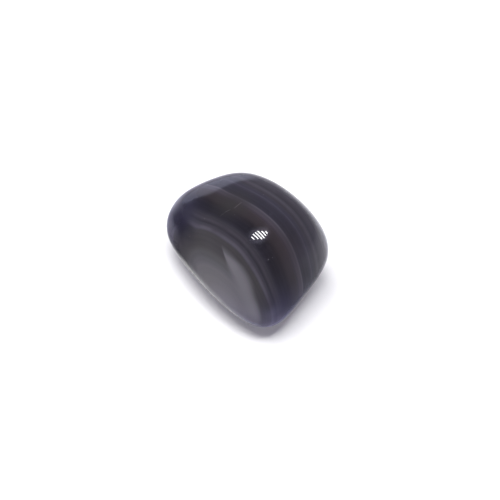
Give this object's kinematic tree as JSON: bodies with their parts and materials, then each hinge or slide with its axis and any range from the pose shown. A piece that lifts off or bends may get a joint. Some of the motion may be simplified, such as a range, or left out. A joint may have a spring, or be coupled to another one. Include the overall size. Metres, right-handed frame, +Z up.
{
  "type": "banded onyx tumbled stone",
  "caption": "Small tumbled stone of dark banded onyx, polished smooth all over and lying steadily on a small flat spot underneath.",
  "frame": {"origin": "under the middle of the stone's bounding box, on the flat spot that it rests on", "axes": "+X along the length of the stone towards its narrow low end, +Y across it towards its upright back, +Z up from the flat spot"},
  "size_m": [0.0278, 0.0202, 0.0168],
  "materials": {
    "onyx": "polished, dark translucent stone with thin pale layers"
  },
  "bodies": {
    "root": {"onyx_stone": "onyx"}
  },
  "joints": []
}
